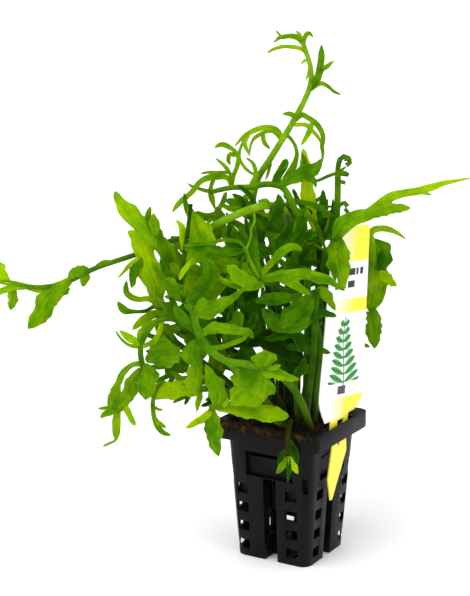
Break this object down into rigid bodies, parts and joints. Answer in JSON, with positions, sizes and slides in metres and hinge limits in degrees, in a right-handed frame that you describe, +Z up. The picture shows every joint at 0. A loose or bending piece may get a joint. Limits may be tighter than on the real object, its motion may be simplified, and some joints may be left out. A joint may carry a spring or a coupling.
{
  "type": "water sprite in a net pot",
  "caption": "Water sprite, an aquarium fern with finely divided arching fronds, rooted in a square net pot with a blank plant tag.",
  "frame": {"origin": "centre of the pot's foot, on the surface that it stands on", "axes": "+Z up along the pot's axis; X and Y square to the pot's sides, with the tag hung outside the +X side"},
  "size_m": [0.2023, 0.1559, 0.2475],
  "materials": {
    "pot_plastic": "satin",
    "roots": "matte",
    "tag_card": "satin",
    "leaf_bright": "satin",
    "leaf_green": "satin",
    "leaf_deep": "satin"
  },
  "bodies": {
    "root": {"net_pot": "pot_plastic", "root_ball": "roots", "plant_tag": "tag_card", "back_right_frond": "leaf_green", "broad_left_frond": "leaf_bright", "drooping_left_frond": "leaf_bright", "fiddlehead": "leaf_green", "front_arching_frond": "leaf_bright", "front_low_frond": "leaf_bright", "hanging_leaf": "leaf_bright", "level_frond": "leaf_green", "long_left_frond": "leaf_bright", "low_left_frond": "leaf_bright", "low_middle_frond": "leaf_green", "middle_left_frond": "leaf_green", "middle_low_frond": "leaf_green", "middle_right_frond": "leaf_green", "rear_frond_1": "leaf_deep", "rear_frond_2": "leaf_deep", "rear_frond_3": "leaf_deep", "rear_frond_4": "leaf_deep", "rear_frond_5": "leaf_deep", "rear_frond_6": "leaf_deep", "rear_frond_7": "leaf_deep", "right_frond": "leaf_green", "rim_sprig": "leaf_green", "shaded_middle_frond": "leaf_deep", "short_stem_frond": "leaf_green", "tall_frond": "leaf_green", "upper_left_frond": "leaf_green", "upper_middle_frond": "leaf_green", "upper_right_frond": "leaf_deep"}
  },
  "joints": []
}
